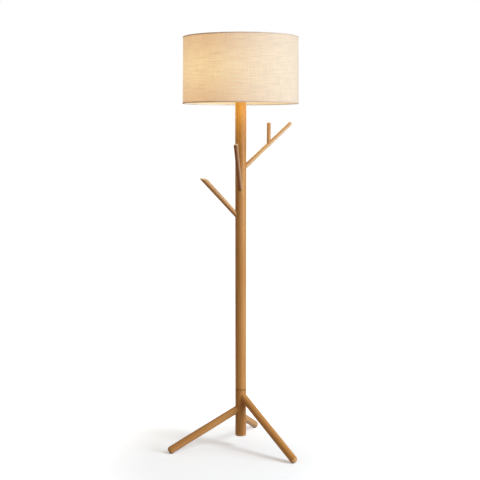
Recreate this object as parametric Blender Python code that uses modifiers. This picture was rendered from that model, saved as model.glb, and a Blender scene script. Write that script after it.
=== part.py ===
"""Tripod floor lamp with branch pegs: a wooden pole on three splayed legs, under a linen drum shade."""
import math

import bmesh
import bpy
from mathutils import Matrix, Vector

MM = 0.001
GAP = 0.3 * MM  # left between pieces that touch
CUTTER_REACH = 60.0 * MM  # socket cutters run out this far, well past the wood

# Sides that a turned piece gets, by its size.
POLE_SIDES = 36
LEG_SIDES = 28
PEG_SIDES = 20
HOLDER_SIDES = 24
FITTING_SIDES = 14
BOLT_SIDES = 16
SHADE_SIDES = 48

# Driving dimensions of the stand, metres and degrees.
POLE_RADIUS = 21.2 * MM
JOINT_HEIGHT = 236.0 * MM  # where the pole screws onto the hub
POLE_TOP = 1360.0 * MM
HUB_BOTTOM = 49.0 * MM
EDGE_CHAMFER = 1.2 * MM
HUB_FILLET = 3.5 * MM
WIRING_BORE = 5.0 * MM

LEG_RADIUS = 14.5 * MM
FOOT_REACH = 279.5 * MM  # from the pole's axis to the middle of a foot
FOOT_CENTRE_HEIGHT = 15.0 * MM
FOOT_ROUNDING = 11.0 * MM
LEG_END_ROUNDING = 2.0 * MM
LEG_OVERRUN = 2.5 * MM  # how far the rounded end passes the middle of the foot, beyond its rounding
LEG_SEAT = 12.0 * MM  # from the pole's axis to a socket's floor, along the leg
LEGS = {  # name: (azimuth, height at which the leg's axis meets the hub's)
    "front": (-45.0, 216.0 * MM),
    "back": (78.0, 129.5 * MM),
    "left": (196.3, 163.0 * MM),
}
PAD_RADIUS = 6.5 * MM
PAD_HEIGHT = 2.5 * MM

# name: (azimuth, height on the pole's axis, tip reach, tip height, radius at the pole, radius at the tip)
BRANCHES = {
    "right": (4.0, 1092.0 * MM, 194.5 * MM, 1277.0 * MM, 9.2 * MM, 6.8 * MM),
    "left": (198.0, 905.0 * MM, 149.5 * MM, 1064.0 * MM, 9.5 * MM, 10.5 * MM),
    "front": (264.4, 1007.0 * MM, 189.0 * MM, 1196.0 * MM, 8.4 * MM, 8.1 * MM),
}
MITRES = {"left": (0.13, -0.14, 0.98), "front": (-0.28, -0.10, 0.95)}  # outward normals of the sawn tips
MITRE_SPARE = 14.0 * MM  # length that a sawn tip is cut back from
BRANCH_SEAT = 17.0 * MM
PEG_CHAMFER = 0.8 * MM
TWIG_REACH = 108.2 * MM
TWIG_TOP = 1277.5 * MM
TWIG_RADIUS = 7.4 * MM

# Driving dimensions of the shade, its holder and the bulb.
SHADE_TOP = 1600.0 * MM
SHADE_BOTTOM = 1349.0 * MM
SHADE_TOP_RADIUS = 219.2 * MM
SHADE_BOTTOM_RADIUS = 221.6 * MM
FABRIC = 0.6 * MM
LINER = 0.8 * MM
HEM_COVER = 4.5 * MM
WIRE_RADIUS = 1.5 * MM
ARM_RADIUS = 1.6 * MM
ARM_AZIMUTHS = (90.0, 210.0, 330.0)
SHOULDER = POLE_TOP + 33.3 * MM  # the holder's flange that carries the shade
HOLDER_THREAD_RADIUS = 20.0 * MM
RING_BORE = 20.4 * MM
BULB_RADIUS = 30.0 * MM
BULB_CENTRE = POLE_TOP + 115.0 * MM
E27_RADIUS = 13.2 * MM
E27_PITCH = 3.63 * MM
SWITCH_AZIMUTH = 60.0
SHAFT_RADIUS = 2.4 * MM
SWITCH_HEIGHT = POLE_TOP + 19.0 * MM
GLAND_HEIGHT = 300.0 * MM
GLAND_AZIMUTH = 90.0

# The pole's axis stands off the middle of the footprint, because one leg alone reaches left and one back.
FOOT_OUTER = FOOT_REACH + LEG_RADIUS
LEFT_SHARE = 0.9601  # of a foot's reach that falls along -X, and along +Y for the back leg
BACK_SHARE = 0.9767
AXIS_X = (FOOT_OUTER * LEFT_SHARE - SHADE_BOTTOM_RADIUS) / 2
AXIS_Y = (SHADE_BOTTOM_RADIUS - FOOT_OUTER * BACK_SHARE) / 2


def clear_scene():
    for item in list(bpy.data.objects):
        bpy.data.objects.remove(item)


def make_collection(name):
    collection = bpy.data.collections.new(name)
    bpy.context.scene.collection.children.link(collection)
    return collection


def make_material(name, colour, roughness, metallic=0.0):
    material = bpy.data.materials.new(name)
    material.use_nodes = True
    shader = material.node_tree.nodes["Principled BSDF"]
    shader.inputs["Base Color"].default_value = (*colour, 1.0)
    shader.inputs["Roughness"].default_value = roughness
    shader.inputs["Metallic"].default_value = metallic
    return material


clear_scene()
PARTS = make_collection("tripod_floor_lamp")
CUTTERS = make_collection("cutters")
AXIS = bpy.data.objects.new("pole_axis", None)
AXIS.location = (AXIS_X, AXIS_Y, 0.0)
PARTS.objects.link(AXIS)

WOOD = make_material("oiled_wood", (0.46, 0.23, 0.09), 0.45)
STEEL = make_material("zinc_steel", (0.62, 0.62, 0.62), 0.3, 1.0)
BRASS = make_material("brass", (0.74, 0.55, 0.25), 0.3, 1.0)
RUBBER = make_material("dark_rubber", (0.06, 0.05, 0.05), 0.85)
BLACK = make_material("black_plastic", (0.03, 0.03, 0.03), 0.4)
CERAMIC = make_material("white_ceramic", (0.85, 0.84, 0.80), 0.25)
LINEN = make_material("natural_linen", (0.80, 0.66, 0.47), 0.9)
HEM_TAPE = make_material("hem_tape", (0.62, 0.44, 0.32), 0.85)
LINER_FILM = make_material("shade_liner", (0.90, 0.86, 0.76), 0.6)
WHITE_STEEL = make_material("white_painted_steel", (0.85, 0.85, 0.83), 0.4, 0.0)
OPAL = make_material("opal_glass", (0.95, 0.92, 0.85), 0.2)
ALUMINIUM = make_material("aluminium", (0.80, 0.80, 0.80), 0.3, 1.0)


def direction(azimuth, elevation):
    """Unit vector that points out along an azimuth and up by an elevation, both in degrees."""
    a, e = math.radians(azimuth), math.radians(elevation)
    return Vector((math.cos(e) * math.cos(a), math.cos(e) * math.sin(a), math.sin(e)))


def place(item, location, towards):
    """Puts an object on the pole's axis frame with its own +Z along towards."""
    item.parent = AXIS
    item.location = location
    item.rotation_mode = "QUATERNION"
    item.rotation_quaternion = Vector(towards).to_track_quat("Z", "Y")
    return item


def mesh_object(name, bm, material=None, location=(0, 0, 0), towards=(0, 0, 1), cutter=False):
    mesh = bpy.data.meshes.new(name)
    bm.to_mesh(mesh)
    bm.free()
    item = bpy.data.objects.new(name, mesh)
    (CUTTERS if cutter else PARTS).objects.link(item)
    if cutter:
        item.hide_render = True
        item.display_type = "WIRE"
    else:
        mesh.materials.append(material)
    return place(item, location, towards)


def turned(name, profile, material=None, steps=FITTING_SIDES, closed=False,
           location=(0, 0, 0), towards=(0, 0, 1), cutter=False):
    """Turns a profile of (radius, height) points about Z. An open profile starts and ends on the axis."""
    bm = bmesh.new()
    points = [bm.verts.new((radius, 0.0, height)) for radius, height in profile]
    for first, second in zip(points, points[1:]):
        bm.edges.new((first, second))
    if closed:
        bm.edges.new((points[-1], points[0]))
    item = mesh_object(name, bm, material, location, towards, cutter)
    screw = item.modifiers.new("turn", "SCREW")
    screw.axis = "Z"
    screw.angle = math.tau
    screw.steps = screw.render_steps = steps
    screw.use_merge_vertices = True
    screw.merge_threshold = 0.00001
    screw.use_smooth_shade = True
    return item


def arc(centre_r, centre_z, radius, start, end, count):
    """Points along a circular arc in the profile plane, angles in degrees from +radius towards +height."""
    angles = [math.radians(start + (end - start) * i / count) for i in range(count + 1)]
    return [(centre_r + radius * math.cos(a), centre_z + radius * math.sin(a)) for a in angles]


def rod(name, radius, low, high, material=None, steps=FITTING_SIDES, bevel=0.5 * MM, **where):
    """A plain round bar with small chamfers, between two heights on its own axis."""
    profile = [(0, high), (radius - bevel, high), (radius, high - bevel)]
    profile += [(radius, low + bevel), (radius - bevel, low), (0, low)]
    return turned(name, profile, material, steps, **where)


def sleeve(name, outer, inner, low, high, material=None, steps=FITTING_SIDES, **where):
    """A round tube with square edges."""
    profile = [(outer, high), (outer, low), (inner, low), (inner, high)]
    return turned(name, profile, material, steps, closed=True, **where)


def plain_cutter(name, radius, low, high, steps=FITTING_SIDES, **where):
    profile = [(0, high), (radius, high), (radius, low), (0, low)]
    return turned(name, profile, steps=steps, cutter=True, **where)


def block_cutter(name, size, location, towards=(0, 0, 1)):
    """A box whose lower face lies on the location, with its +Z along towards."""
    bm = bmesh.new()
    bmesh.ops.create_cube(bm, size=1.0)
    bmesh.ops.scale(bm, vec=size, verts=bm.verts)
    bmesh.ops.translate(bm, vec=(0, 0, size[2] / 2), verts=bm.verts)
    return mesh_object(name, bm, None, location, towards, cutter=True)


def cut(item, *cutters):
    for cutter in cutters:
        boolean = item.modifiers.new("cut_" + cutter.name, "BOOLEAN")
        boolean.operation = "DIFFERENCE"
        boolean.object = cutter


def join(item, *others):
    for other in others:
        boolean = item.modifiers.new("join_" + other.name, "BOOLEAN")
        boolean.operation = "UNION"
        boolean.object = other


# Legs, their hardware and the hub that they plug into.
LEG_BOLT_RADIUS = 4.0 * MM
LEG_BOLT_END = 2.3 * MM
LEG_BOLT_DEPTH = 34.0 * MM
LEG_INSERT_RADIUS = 6.0 * MM
LEG_INSERT_LENGTH = 10.0 * MM


def leg_line(name):
    """Where a leg's axis crosses the hub's, its direction towards the hub, and its length to the foot."""
    azimuth, height = LEGS[name]
    rise = height - FOOT_CENTRE_HEIGHT
    slope = math.degrees(math.atan2(rise, FOOT_REACH))
    return Vector((0, 0, height)), -direction(azimuth, -slope), math.hypot(rise, FOOT_REACH)


def build_leg(name, floor_cutter):
    crossing, inward, length = leg_line(name)
    inner_end = -LEG_SEAT - GAP
    outer_end = -length - FOOT_ROUNDING - LEG_OVERRUN
    bore = LEG_BOLT_RADIUS + GAP
    bore_end = inner_end - LEG_BOLT_DEPTH - GAP
    rounding = LEG_END_ROUNDING
    profile = [(0, bore_end), (bore, bore_end), (bore, inner_end)]
    profile += arc(LEG_RADIUS - rounding, inner_end - rounding, rounding, 90, 0, 2)
    profile += arc(LEG_RADIUS - FOOT_ROUNDING, outer_end + FOOT_ROUNDING, FOOT_ROUNDING, 0, -90, 5)
    profile += [(0, outer_end)]
    leg = turned("leg_" + name, profile, WOOD, LEG_SIDES, location=crossing, towards=inward)
    cut(leg, floor_cutter)
    return leg


def build_leg_hardware(name):
    crossing, inward, _ = leg_line(name)
    where = {"location": crossing, "towards": inward}
    bolt_low = -LEG_SEAT - LEG_BOLT_DEPTH
    rod("leg_bolt_" + name, LEG_BOLT_RADIUS, bolt_low, -LEG_BOLT_END, STEEL, BOLT_SIDES, **where)
    insert_low = -LEG_SEAT + GAP
    sleeve("leg_insert_" + name, LEG_INSERT_RADIUS, LEG_BOLT_RADIUS + GAP, insert_low,
           insert_low + LEG_INSERT_LENGTH, BRASS, **where)


def build_foot_pad(name):
    foot = direction(LEGS[name][0], 0) * FOOT_REACH
    rod("foot_pad_" + name, PAD_RADIUS, 0, PAD_HEIGHT, RUBBER, location=foot)


def leg_socket_cutter(name):
    """A round socket with a narrower hole for the threaded insert beyond its floor."""
    crossing, inward, _ = leg_line(name)
    socket, hole = LEG_RADIUS + GAP, LEG_INSERT_RADIUS + GAP
    hole_end = -LEG_SEAT + LEG_INSERT_LENGTH + 2 * GAP
    profile = [(0, hole_end), (hole, hole_end), (hole, -LEG_SEAT), (socket, -LEG_SEAT)]
    profile += [(socket, -CUTTER_REACH), (0, -CUTTER_REACH)]
    return turned("socket_" + name, profile, steps=LEG_SIDES, location=crossing, towards=inward,
                  cutter=True)


STUD_RADIUS = 5.0 * MM
STUD_RISE = 26.0 * MM  # how far the stud reaches up into the pole
STUD_HOLE = 28.0 * MM
INSERT_RADIUS = 8.0 * MM
HUB_INSERT_LENGTH = 12.0 * MM
POLE_INSERT_LENGTH = 18.0 * MM


def build_hub():
    top = JOINT_HEIGHT - GAP / 2
    pocket = top - HUB_INSERT_LENGTH - 2 * GAP
    fillet = HUB_FILLET
    profile = [(0, pocket), (INSERT_RADIUS + GAP, pocket), (INSERT_RADIUS + GAP, top)]
    profile += [(POLE_RADIUS - EDGE_CHAMFER, top), (POLE_RADIUS, top - EDGE_CHAMFER)]
    profile += arc(POLE_RADIUS - fillet, HUB_BOTTOM + fillet, fillet, 0, -90, 4)
    profile += [(0, HUB_BOTTOM)]
    hub = turned("hub", profile, WOOD, POLE_SIDES)
    cut(hub, *[leg_socket_cutter(name) for name in LEGS])


def build_joint_hardware():
    """The stud that screws the pole onto the hub, and the threaded insert on each side of the joint."""
    hub_top = JOINT_HEIGHT - GAP
    pole_low = JOINT_HEIGHT + GAP
    bore = STUD_RADIUS + GAP
    sleeve("hub_insert", INSERT_RADIUS, bore, hub_top - HUB_INSERT_LENGTH, hub_top, BRASS)
    sleeve("pole_insert", INSERT_RADIUS, bore, pole_low, pole_low + POLE_INSERT_LENGTH, BRASS)
    rod("joint_stud", STUD_RADIUS, hub_top - HUB_INSERT_LENGTH, pole_low + STUD_RISE, STEEL)


def build_base():
    floor_level = PAD_HEIGHT + GAP
    block_size = (0.8, 0.8, 0.03)
    floor_cutter = block_cutter("floor_cutter", block_size, (0, 0, floor_level - block_size[2]))
    for name in LEGS:
        build_leg(name, floor_cutter)
        build_leg_hardware(name)
        build_foot_pad(name)
    build_hub()
    build_joint_hardware()


# Pole, its branches and the outlet for the supply lead.
BRANCH_BOLT_RADIUS = 3.0 * MM
BRANCH_BOLT_GRIP = 5.7 * MM
BRANCH_BOLT_DEPTH = 26.0 * MM
GLAND_BORE = 3.2 * MM
GLAND_NECK = 4.6 * MM
GLAND_FLANGE = 7.0 * MM
GLAND_SEAT = 19.8 * MM
GLAND_LIP = 2.5 * MM
GLAND_CHAMFER = 0.8 * MM
GLAND_INNER = 7.0 * MM  # where its neck ends inside the pole


def branch_line(name):
    """Where a branch's axis crosses the pole's, its outward direction, and its length along the axis."""
    azimuth, height, reach, tip_height, _, _ = BRANCHES[name]
    rise = tip_height - height
    slope = math.degrees(math.atan2(rise, reach))
    return Vector((0, 0, height)), direction(azimuth, slope), math.hypot(rise, reach)


def branch_radius(name, along):
    """Radius of a branch at a distance along its axis: a straight taper."""
    _, _, length = branch_line(name)
    base, tip = BRANCHES[name][4:]
    return base + (tip - base) * along / length


def build_branch(name, *cutters):
    crossing, outward, length = branch_line(name)
    low = BRANCH_SEAT + GAP
    bore = BRANCH_BOLT_RADIUS + GAP
    bore_end = low + BRANCH_BOLT_DEPTH + GAP
    mitred = name in MITRES
    high = length + (MITRE_SPARE if mitred else 0)
    rounding = PEG_CHAMFER
    tip = branch_radius(name, high)
    profile = [(0, high)] + arc(tip - rounding, high - rounding, rounding, 90, 0, 2)
    profile += [(branch_radius(name, low), low)]
    profile += [(bore, low), (bore, bore_end), (0, bore_end)]
    branch = turned("branch_" + name, profile, WOOD, PEG_SIDES, location=crossing, towards=outward)
    if mitred:
        tip_point = crossing + outward * length
        block_size = (0.08, 0.08, 0.05)
        cut(branch, block_cutter("mitre_" + name, block_size, tip_point, MITRES[name]))
    cut(branch, *cutters)


def build_branch_bolt(name):
    crossing, outward, _ = branch_line(name)
    rod("branch_bolt_" + name, BRANCH_BOLT_RADIUS, BRANCH_SEAT - BRANCH_BOLT_GRIP,
        BRANCH_SEAT + BRANCH_BOLT_DEPTH, STEEL, BOLT_SIDES, location=crossing, towards=outward)


def branch_socket_cutter(name):
    crossing, outward, _ = branch_line(name)
    socket = branch_radius(name, BRANCH_SEAT) + GAP
    hole = BRANCH_BOLT_RADIUS + GAP
    hole_end = BRANCH_SEAT - BRANCH_BOLT_GRIP - GAP
    profile = [(0, CUTTER_REACH), (socket, CUTTER_REACH), (socket, BRANCH_SEAT), (hole, BRANCH_SEAT)]
    profile += [(hole, hole_end), (0, hole_end)]
    return turned("peg_socket_" + name, profile, steps=PEG_SIDES, location=crossing, towards=outward,
                  cutter=True)


DOWEL_RADIUS = 3.0 * MM
DOWEL_BELOW = 7.0 * MM  # its ends below and above the branch's axis
DOWEL_ABOVE = 22.0 * MM


def build_twig():
    """An upright peg on the right branch: its foot is coped to the branch and held by a dowel."""
    crossing, outward, length = branch_line("right")
    along = TWIG_REACH / math.hypot(outward.x, outward.y)
    root = crossing + outward * along
    dowel_low, dowel_high = root.z - DOWEL_BELOW, root.z + DOWEL_ABOVE
    foot = Vector((root.x, root.y, 0))
    hole = plain_cutter("dowel_hole", DOWEL_RADIUS + GAP, dowel_low - GAP, dowel_high + GAP, BOLT_SIDES,
                        location=foot)
    low_radius, high_radius = branch_radius("right", 0) + GAP, branch_radius("right", length) + GAP
    cope_profile = [(0, length), (high_radius, length), (low_radius, 0), (0, 0)]
    cope = turned("twig_cope", cope_profile, steps=PEG_SIDES, location=crossing, towards=outward,
                  cutter=True)
    twig = rod("twig", TWIG_RADIUS, root.z, TWIG_TOP, WOOD, PEG_SIDES, PEG_CHAMFER, location=foot)
    cut(twig, cope, hole)
    rod("twig_dowel", DOWEL_RADIUS, dowel_low, dowel_high, WOOD, BOLT_SIDES, location=foot)
    return hole


def build_pole():
    low, high = JOINT_HEIGHT + GAP / 2, POLE_TOP
    pocket = INSERT_RADIUS + GAP
    low_pocket = JOINT_HEIGHT + POLE_INSERT_LENGTH + 2 * GAP
    high_pocket = high - POLE_INSERT_LENGTH - 2 * GAP
    stud_hole = STUD_RADIUS + GAP
    stud_end = JOINT_HEIGHT + STUD_HOLE
    profile = [(POLE_RADIUS - EDGE_CHAMFER, high), (POLE_RADIUS, high - EDGE_CHAMFER)]
    profile += [(POLE_RADIUS, low + EDGE_CHAMFER), (POLE_RADIUS - EDGE_CHAMFER, low)]
    profile += [(pocket, low), (pocket, low_pocket), (stud_hole, low_pocket), (stud_hole, stud_end)]
    profile += [(WIRING_BORE, stud_end + GAP), (WIRING_BORE, high_pocket)]
    profile += [(pocket, high_pocket), (pocket, high)]
    pole = turned("pole", profile, WOOD, POLE_SIDES, closed=True)
    outlet = {"location": (0, 0, GLAND_HEIGHT), "towards": direction(GLAND_AZIMUTH, 0)}
    neck_hole, flange_hole, seat = GLAND_NECK + GAP, GLAND_FLANGE + GAP, GLAND_SEAT - GAP
    outlet_profile = [(0, CUTTER_REACH), (flange_hole, CUTTER_REACH), (flange_hole, seat)]
    outlet_profile += [(neck_hole, seat), (neck_hole, 0), (0, 0)]
    outlet_cutter = turned("outlet_cutter", outlet_profile, cutter=True, **outlet)
    cut(pole, *[branch_socket_cutter(name) for name in BRANCHES], outlet_cutter)
    build_gland(outlet)


def build_gland(outlet):
    """A flanged bush in the back of the pole, for the supply lead."""
    lip = GLAND_SEAT + GLAND_LIP
    profile = [(GLAND_BORE + GLAND_CHAMFER, lip), (GLAND_FLANGE - GLAND_CHAMFER, lip)]
    profile += [(GLAND_FLANGE, lip - GLAND_CHAMFER), (GLAND_FLANGE, GLAND_SEAT), (GLAND_NECK, GLAND_SEAT)]
    profile += [(GLAND_NECK, GLAND_INNER), (GLAND_BORE, GLAND_INNER), (GLAND_BORE, lip - GLAND_CHAMFER)]
    turned("cord_gland", profile, BLACK, closed=True, **outlet)


def build_pegs():
    dowel_hole = build_twig()
    build_branch("right", dowel_hole)
    build_branch("left")
    build_branch("front")
    for name in BRANCHES:
        build_branch_bolt(name)


# Lampholder on the pole's top.
CAP_TOP = POLE_TOP + 30.0 * MM
HOLDER_TOP = POLE_TOP + 64.0 * MM
BLOCK_TOP = POLE_TOP + 35.0 * MM


def ridged(radius, depth, low, high, count):
    """Profile points down a threaded wall, its thread drawn as a row of round ridges."""
    pitch = (high - low) / count
    points = []
    for i in range(count):
        z = high - i * pitch
        points += [(radius - depth, z), (radius, z - pitch / 2)]
    return points + [(radius - depth, low)]


PLATE_THICKNESS = 2.0 * MM
NUT_HEIGHT = 3.0 * MM
NUT_RADIUS = 8.1 * MM
NIPPLE_BORE = 3.7 * MM
NIPPLE_REACH = 16.0 * MM  # above and below the pole's top
CAP_BASE = POLE_TOP + 6.2 * MM
CAP_FLOOR = 3.0 * MM
CAP_RADIUS = 19.5 * MM
CAP_CORNER = 7.0 * MM
CAP_INNER_RADIUS = 17.3 * MM


def build_nipple_and_nut():
    """The threaded tube that carries the holder, its plate and its nut."""
    insert_high = POLE_TOP - GAP
    clearance = STUD_RADIUS + GAP
    sleeve("top_insert", INSERT_RADIUS, clearance, insert_high - POLE_INSERT_LENGTH, insert_high, BRASS)
    sleeve("nipple", STUD_RADIUS, NIPPLE_BORE, POLE_TOP - NIPPLE_REACH, POLE_TOP + NIPPLE_REACH, STEEL)
    plate_low = POLE_TOP + GAP
    plate_high = plate_low + PLATE_THICKNESS
    sleeve("top_plate", POLE_RADIUS, clearance, plate_low, plate_high, STEEL, POLE_SIDES)
    nut_low = plate_high + GAP
    nut_high = nut_low + NUT_HEIGHT
    nut = rod("lock_nut", NUT_RADIUS, nut_low, nut_high, STEEL, 6, GAP)
    cut(nut, plain_cutter("nut_bore", clearance, nut_low - PLATE_THICKNESS, nut_high + PLATE_THICKNESS))


def build_holder_cap(switch_place):
    floor = CAP_BASE + CAP_FLOOR
    corner_z = CAP_BASE + CAP_CORNER
    bore = STUD_RADIUS + GAP
    cup = [(CAP_RADIUS, CAP_TOP), (CAP_RADIUS, corner_z + 2 * MM)]
    cup += arc(CAP_RADIUS - CAP_CORNER, corner_z, CAP_CORNER, 0, -90, 4)
    cup += [(bore, CAP_BASE), (bore, floor), (12 * MM, floor)]
    cup += [(CAP_INNER_RADIUS, floor + 5 * MM), (CAP_INNER_RADIUS, CAP_TOP)]
    holder_cap = turned("holder_cap", cup, BLACK, HOLDER_SIDES, closed=True)
    cut(holder_cap, plain_cutter("switch_hole", SHAFT_RADIUS + 0.5 * MM, 12 * MM, 26 * MM, **switch_place))


def build_holder_body():
    """The upper part: a threaded sleeve above the flange that carries the shade."""
    inner, flange = 16.2 * MM, 23 * MM
    low = CAP_TOP + GAP
    lip = 1.0 * MM
    wall = [(17.6 * MM, HOLDER_TOP), (19.0 * MM, HOLDER_TOP)]
    wall += ridged(HOLDER_THREAD_RADIUS, 0.7 * MM, SHOULDER + lip, HOLDER_TOP - 1.5 * MM, 6)
    wall += [(19.3 * MM, SHOULDER), (flange, SHOULDER), (flange, low)]
    wall += [(inner, low), (inner, HOLDER_TOP - lip)]
    turned("holder_body", wall, BLACK, HOLDER_SIDES, closed=True)


def build_terminal_block():
    low = BLOCK_TOP - 11 * MM
    block = rod("terminal_block", 15.9 * MM, low, BLOCK_TOP, CERAMIC, HOLDER_SIDES)
    radius, reach = 2.0 * MM, 5.5 * MM
    for number, side in ((1, -1), (2, 1)):
        at = {"location": (side * 9 * MM, 0, 0)}
        hole_low, hole_high = low - 3 * MM, low + reach + 0.5 * MM
        hole = plain_cutter(f"terminal_hole_{number}", radius + GAP, hole_low, hole_high, BOLT_SIDES, **at)
        cut(block, hole)
        rod(f"terminal_screw_{number}", radius, low - 1 * MM, low + reach, BRASS, BOLT_SIDES, **at)


def build_contacts():
    """The threaded shell that takes the bulb's cap, and the sprung contact in the middle of its floor."""
    low, high = BLOCK_TOP + 2 * GAP, HOLDER_TOP - 4 * MM
    sheet = 0.4 * MM
    outer, floor_bore = 14.9 * MM, 8.5 * MM
    bore = list(reversed(ridged(14.5 * MM, 0.6 * MM, low + 2.5 * MM, high, 4)))
    shell = [(outer, high), (outer, low), (floor_bore, low), (floor_bore, low + sheet)]
    shell += [(outer - 1 * MM, low + sheet)] + bore
    turned("screw_shell", shell, BRASS, HOLDER_SIDES, closed=True)
    tongue = [(0, 2.8 * MM), (2.2 * MM, 2.4 * MM), (3.2 * MM, 1.4 * MM), (3.2 * MM, GAP), (0, GAP)]
    turned("centre_contact", [(radius, BLOCK_TOP + rise) for radius, rise in tongue], BRASS)


def build_holder():
    build_nipple_and_nut()
    switch_place = {"location": (0, 0, SWITCH_HEIGHT), "towards": direction(SWITCH_AZIMUTH, 0)}
    build_holder_cap(switch_place)
    build_holder_body()
    build_terminal_block()
    build_contacts()
    build_switch_knob(switch_place)


def build_switch_knob(switch_place):
    """The turn switch: a knob on a shaft that reaches into the holder. Distances run along the shaft."""
    shaft_end, knob_low, grip_low, grip_high, knob_high = 11 * MM, 21 * MM, 23 * MM, 32 * MM, 33 * MM
    grip = 6.2 * MM
    knob = [(0, knob_high), (grip - 1 * MM, knob_high), (grip, grip_high), (grip, grip_low)]
    knob += [(5.6 * MM, knob_low), (SHAFT_RADIUS, knob_low), (SHAFT_RADIUS, shaft_end), (0, shaft_end)]
    turned("switch_knob", knob, BLACK, **switch_place)


def build_bulb():
    """A round bulb in its screw cap, with the stem and the filament that stand inside the glass."""
    tip = BLOCK_TOP + 3.1 * MM
    button = 1.6 * MM
    contact = [(0, button), (4.6 * MM, button), (4.2 * MM, 0.5 * MM), (2.6 * MM, 0), (0, 0)]
    turned("bulb_contact", [(radius, tip + rise) for radius, rise in contact], BRASS)
    bead_low = tip + button + GAP
    bead_high = bead_low + 4 * MM
    bead = [(0, bead_high), (11.4 * MM, bead_high), (11.4 * MM, bead_high - 0.8 * MM)]
    turned("bulb_insulator", bead + [(5.4 * MM, bead_low), (0, bead_low)], BLACK)
    cap_low = bead_high + GAP
    cap_high = cap_low + 24 * MM
    build_bulb_cap(cap_low, cap_high)
    neck_low = cap_high - 4.6 * MM
    build_bulb_glass(neck_low, cap_high + 3 * MM)
    stem_top = BULB_CENTRE - 16 * MM
    flare, foot = 2.4 * MM, 10.6 * MM
    stem = [(0, stem_top), (flare + 0.2 * MM, stem_top), (flare, stem_top - 3 * MM)]
    stem += [(flare, neck_low + 14 * MM), (4.5 * MM, neck_low + 6 * MM), (foot, neck_low + 1 * MM), (foot, neck_low), (0, neck_low)]
    turned("bulb_stem", stem, OPAL)
    build_filament(stem_top)


def build_bulb_cap(low, high):
    """The screw cap: a thin shell whose thread is a row of ridges, open at both ends."""
    wall, depth, mouth = 0.5 * MM, 0.6 * MM, 13.3 * MM
    thread_high = high - 3.4 * MM
    outside = [(mouth, high), (mouth, high - 3 * MM)]
    outside += ridged(E27_RADIUS, depth, thread_high - 4 * E27_PITCH, thread_high, 4)
    outside += [(11 * MM, low), (9 * MM, low), (9 * MM, low + wall), (11 * MM, low + wall)]
    inner = E27_RADIUS - depth - wall
    inside = [(inner, low + 4 * MM), (inner, high - 6 * MM)]
    inside += [(mouth - wall, high - 5 * MM), (mouth - wall, high)]
    turned("bulb_cap", outside + inside, ALUMINIUM, HOLDER_SIDES, closed=True)


def build_bulb_glass(neck_low, waist_z):
    """Most of a sphere, drawn in to a neck by a curve that leaves the sphere smoothly."""
    neck, glass = 12.2 * MM, 0.9 * MM
    neck_angle, curve = -36, 1.55
    globe = arc(0, BULB_CENTRE, BULB_RADIUS, 90, neck_angle, 8)
    shoulder_r, shoulder_z = globe[-1]
    waist = []
    for t in (0.7, 0.4, 0.15, 0):
        waist.append((neck + (shoulder_r - neck) * t ** curve, waist_z + (shoulder_z - waist_z) * t))
    outer = globe + waist + [(neck, neck_low)]
    inner = [(neck - glass, neck_low)] + [(radius - glass, height) for radius, height in reversed(waist)]
    inner += arc(0, BULB_CENTRE, BULB_RADIUS - glass, neck_angle, 90, 8)
    outer[0], inner[-1] = (0, BULB_CENTRE + BULB_RADIUS), (0, BULB_CENTRE + BULB_RADIUS - glass)
    turned("bulb_glass", outer + inner, OPAL, HOLDER_SIDES)


def build_filament(stem_top):
    """One wire: up from the stem, round a zigzag ring about the bulb's middle, and back down to the stem."""
    turns, count, spread, wave, sweep = 5, 20, 9.0 * MM, 4.0 * MM, math.tau * 0.92
    points = [Vector((-1.6 * MM, 0, stem_top + GAP)), Vector((-4 * MM, 0, stem_top + 8 * MM))]
    for i in range(count + 1):
        angle = math.pi + sweep * i / count
        height = BULB_CENTRE + wave * math.cos(math.tau * turns * i / count)
        points.append(Vector((spread * math.cos(angle), spread * math.sin(angle), height)))
    points += [Vector((4 * MM, -2 * MM, stem_top + 8 * MM)), Vector((1.6 * MM, 0, stem_top + GAP))]
    curve = bpy.data.curves.new("filament", "CURVE")
    curve.dimensions = "3D"
    curve.bevel_depth = 0.45 * MM
    curve.bevel_resolution = 1
    curve.use_fill_caps = True
    spline = curve.splines.new("POLY")
    spline.points.add(len(points) - 1)
    for point, at in zip(spline.points, points):
        point.co = (*at, 1.0)
    filament = bpy.data.objects.new("filament", curve)
    curve.materials.append(STEEL)
    PARTS.objects.link(filament)
    filament.parent = AXIS


# Shade: a linen cover laminated to a liner, on two wire rings and a spider that clamps to the holder.
def shade_radius(height):
    share = (height - SHADE_BOTTOM) / (SHADE_TOP - SHADE_BOTTOM)
    return SHADE_BOTTOM_RADIUS + (SHADE_TOP_RADIUS - SHADE_BOTTOM_RADIUS) * share


def drum(name, outer_offset, thickness, low, high, material):
    outer = [(shade_radius(high) - outer_offset, high), (shade_radius(low) - outer_offset, low)]
    inner = [(radius - thickness, height) for radius, height in reversed(outer)]
    return turned(name, outer + inner, material, SHADE_SIDES, closed=True)


WALL_DEPTH = FABRIC + GAP + LINER + GAP  # from the cover's face to the wire
EDGE_TAPE = 1.0 * MM


def wire_ring(name, height, minor=WIRE_RADIUS, cutter=False):
    major = shade_radius(height) - WALL_DEPTH - WIRE_RADIUS
    profile = [(major + minor * math.cos(a), height + minor * math.sin(a))
               for a in [-math.tau * i / 6 for i in range(6)]]
    return turned(name, profile, WHITE_STEEL, SHADE_SIDES, closed=True, cutter=cutter)


def hem(name, edge, side):
    """A tape folded over the shade's edge. side is +1 for the top edge and -1 for the bottom one."""
    tape = 0.6 * MM
    inside = edge - side * tape
    cover_end = edge - side * HEM_COVER
    outer = shade_radius(edge) + GAP
    inner = shade_radius(edge) - WALL_DEPTH - 2 * WIRE_RADIUS
    profile = [(inner, edge), (outer + tape, edge), (outer + tape, cover_end), (outer, cover_end)]
    profile += [(outer, inside), (inner, inside)]
    if side < 0:
        profile.reverse()
    return turned(name, profile, HEM_TAPE, SHADE_SIDES, closed=True)


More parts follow.
